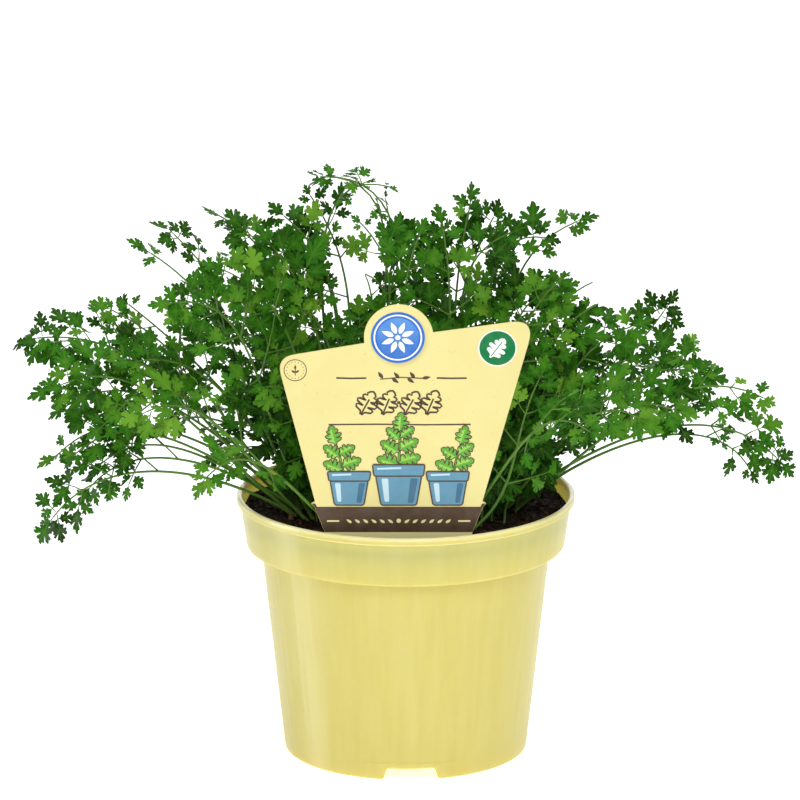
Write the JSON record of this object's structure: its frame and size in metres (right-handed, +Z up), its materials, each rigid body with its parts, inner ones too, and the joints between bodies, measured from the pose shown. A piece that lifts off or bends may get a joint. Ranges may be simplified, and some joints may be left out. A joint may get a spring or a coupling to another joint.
{
  "type": "potted chervil",
  "caption": "Round pale yellow plastic pot with a stepped rim, filled with soil and a bush of finely cut chervil leaves on thin stalks, with a broad plant label standing at the front.",
  "frame": {"origin": "centre of the pot's foot, on the surface that the pot stands on", "axes": "+Z up along the pot's axis; -Y towards the front, where the label stands; +X to the right as seen from the front, along the plant's widest spread"},
  "size_m": [0.2761, 0.189, 0.2133],
  "materials": {
    "pot_plastic": "satin",
    "soil": "matte",
    "label_card": "satin",
    "leaf": "satin"
  },
  "bodies": {
    "root": {"pot": "pot_plastic", "soil": "soil", "label": "label_card", "leaf_01": "leaf", "leaf_02": "leaf", "leaf_03": "leaf", "leaf_04": "leaf", "leaf_05": "leaf", "leaf_06": "leaf", "leaf_07": "leaf", "leaf_08": "leaf", "leaf_09": "leaf", "leaf_10": "leaf", "leaf_11": "leaf", "leaf_12": "leaf", "leaf_13": "leaf", "leaf_14": "leaf", "leaf_15": "leaf", "leaf_16": "leaf", "leaf_17": "leaf", "leaf_18": "leaf", "leaf_19": "leaf", "leaf_20": "leaf", "leaf_21": "leaf", "leaf_22": "leaf", "leaf_23": "leaf", "leaf_24": "leaf", "leaf_25": "leaf", "leaf_26": "leaf", "leaf_27": "leaf", "leaf_28": "leaf", "leaf_29": "leaf", "leaf_30": "leaf", "leaf_31": "leaf", "leaf_32": "leaf", "leaf_33": "leaf", "leaf_34": "leaf", "leaf_35": "leaf", "leaf_36": "leaf", "leaf_37": "leaf", "leaf_38": "leaf", "leaf_39": "leaf", "leaf_40": "leaf"}
  },
  "joints": []
}
